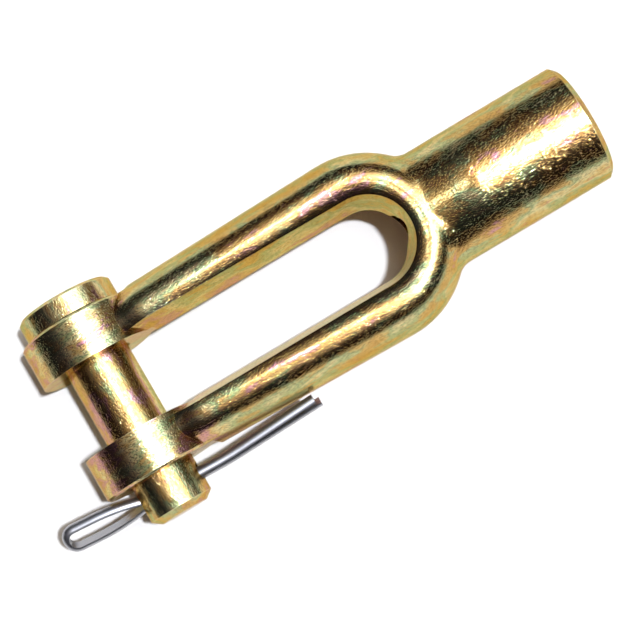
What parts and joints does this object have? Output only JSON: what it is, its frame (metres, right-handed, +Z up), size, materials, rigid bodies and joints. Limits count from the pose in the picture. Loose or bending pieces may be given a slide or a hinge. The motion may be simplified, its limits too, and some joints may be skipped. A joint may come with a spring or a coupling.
{
  "type": "clevis rod end",
  "caption": "Forged clevis rod end: a U-shaped fork on a round threaded shank, with a headed cross pin held by a split pin.",
  "frame": {"origin": "where the clevis pin's axis crosses the shank's axis", "axes": "+X along the shank towards its threaded end, +Y along the clevis pin towards its head, +Z up as the part lies"},
  "size_m": [0.1231, 0.0457, 0.0236],
  "materials": {
    "yoke": "yellow iridescent chromate on zinc over forged steel, fine pebbled grain",
    "clevis_pin": "yellow iridescent chromate on zinc over turned steel",
    "cotter_pin": "bright drawn steel wire"
  },
  "bodies": {
    "yoke": {"yoke": "yoke"},
    "clevis_pin": {"clevis_pin": "clevis_pin"},
    "cotter_pin": {"cotter_pin": "cotter_pin"}
  },
  "joints": [
    {"name": "pin_turn", "type": "hinge", "parent": "yoke", "child": "clevis_pin", "pos_m": [0, 0, 0], "axis": [0, 1, 0], "range_deg": [-160, 150]},
    {"name": "cotter_draw", "type": "slide", "parent": "clevis_pin", "child": "cotter_pin", "axis": [-1, 0, 0], "range_m": [0, 0.04]}
  ]
}
